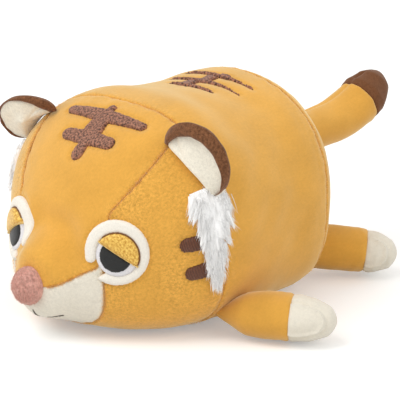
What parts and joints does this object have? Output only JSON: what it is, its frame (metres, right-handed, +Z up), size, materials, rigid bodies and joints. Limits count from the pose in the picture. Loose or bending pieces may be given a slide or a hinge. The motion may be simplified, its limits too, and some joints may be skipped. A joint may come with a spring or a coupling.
{
  "type": "plush tiger",
  "caption": "Small stuffed tiger lying on its belly, with a barrel body, splayed stub legs, round ears, sleepy embroidered eyes and a curled tail.",
  "frame": {"origin": "middle of the flat of the belly, on the surface that the tiger lies on", "axes": "+Z up, -Y the way the tiger faces, +X its left side"},
  "size_m": [0.1916, 0.2332, 0.0949],
  "materials": {
    "tan_plush": "short-pile plush",
    "cream_plush": "short-pile plush",
    "brown_plush": "short-pile plush",
    "pink_plush": "short-pile plush",
    "white_long_pile": "long-pile faux fur",
    "white_felt": "felt",
    "white_satin_stitch": "satin-stitch embroidery",
    "black_satin_stitch": "satin-stitch embroidery",
    "gold_satin_stitch": "satin-stitch embroidery",
    "brown_satin_stitch": "satin-stitch embroidery",
    "glittering_brown_stitch": "glittering embroidery",
    "polyester_fibre": "loose fibre filling"
  },
  "bodies": {
    "trunk": {"back_mark": "glittering_brown_stitch", "back_panel": "tan_plush", "belly_panel": "tan_plush", "body_fill": "polyester_fibre", "brow_panel": "tan_plush", "cheek_panel_left": "tan_plush", "cheek_panel_right": "tan_plush", "cheek_stripe_lower_left": "brown_satin_stitch", "cheek_stripe_lower_right": "brown_satin_stitch", "cheek_stripe_upper_left": "brown_satin_stitch", "cheek_stripe_upper_right": "brown_satin_stitch", "eye_rim_left": "white_felt", "eye_rim_right": "white_felt", "eye_white_left": "white_satin_stitch", "eye_white_right": "white_satin_stitch", "eyelid_left": "gold_satin_stitch", "eyelid_right": "gold_satin_stitch", "forehead_mark": "glittering_brown_stitch", "head_fill": "polyester_fibre", "mouth_thread": "brown_satin_stitch", "muzzle_panel": "cream_plush", "nose": "pink_plush", "pupil_left": "black_satin_stitch", "pupil_right": "black_satin_stitch", "rump_panel": "tan_plush", "tuft_left": "white_long_pile", "tuft_right": "white_long_pile"},
    "tail": {"tail_sleeve": "tan_plush", "tail_tip": "brown_plush", "tail_fill": "polyester_fibre"},
    "ear_left": {"ear_back_left": "brown_plush", "ear_front_left": "cream_plush"},
    "front_leg_left": {"front_leg_left_sleeve": "tan_plush", "front_leg_left_toe_cap": "cream_plush", "front_leg_left_fill": "polyester_fibre"},
    "hind_leg_left": {"hind_leg_left_sleeve": "tan_plush", "hind_leg_left_toe_cap": "cream_plush", "hind_leg_left_fill": "polyester_fibre"},
    "ear_right": {"ear_back_right": "brown_plush", "ear_front_right": "cream_plush"},
    "front_leg_right": {"front_leg_right_sleeve": "tan_plush", "front_leg_right_toe_cap": "cream_plush", "front_leg_right_fill": "polyester_fibre"},
    "hind_leg_right": {"hind_leg_right_sleeve": "tan_plush", "hind_leg_right_toe_cap": "cream_plush", "hind_leg_right_fill": "polyester_fibre"}
  },
  "joints": [
    {"name": "ear_left_tilt", "type": "hinge", "parent": "trunk", "child": "ear_left", "pos_m": [0.04745, -0.02812, 0.07556], "axis": [0.7234, 0.2335, -0.6498], "range_deg": [-20, 20], "stiffness_Nm_per_rad": 0.004},
    {"name": "front_leg_left_lift", "type": "hinge", "parent": "trunk", "child": "front_leg_left", "pos_m": [0.05253, -0.01203, 0.00855], "axis": [-0.0399, -0.9992, 0], "range_deg": [-20, 20], "stiffness_Nm_per_rad": 0.012},
    {"name": "hind_leg_left_lift", "type": "hinge", "parent": "trunk", "child": "hind_leg_left", "pos_m": [0.02598, 0.06441, 0.01458], "axis": [0.9817, -0.1907, 0], "range_deg": [-20, 20], "stiffness_Nm_per_rad": 0.012},
    {"name": "ear_right_tilt", "type": "hinge", "parent": "trunk", "child": "ear_right", "pos_m": [-0.04745, -0.02812, 0.07556], "axis": [0.7234, -0.2335, 0.6498], "range_deg": [-20, 20], "stiffness_Nm_per_rad": 0.004},
    {"name": "front_leg_right_lift", "type": "hinge", "parent": "trunk", "child": "front_leg_right", "pos_m": [-0.05253, -0.01203, 0.00855], "axis": [-0.0399, 0.9992, 0], "range_deg": [-20, 20], "stiffness_Nm_per_rad": 0.012},
    {"name": "hind_leg_right_lift", "type": "hinge", "parent": "trunk", "child": "hind_leg_right", "pos_m": [-0.02598, 0.06441, 0.01458], "axis": [0.9817, 0.1907, 0], "range_deg": [-20, 20], "stiffness_Nm_per_rad": 0.012},
    {"name": "tail_lift", "type": "hinge", "parent": "trunk", "child": "tail", "pos_m": [0, 0.07482, 0.0598], "axis": [1, 0, 0], "range_deg": [-20, 25], "stiffness_Nm_per_rad": 0.03}
  ]
}
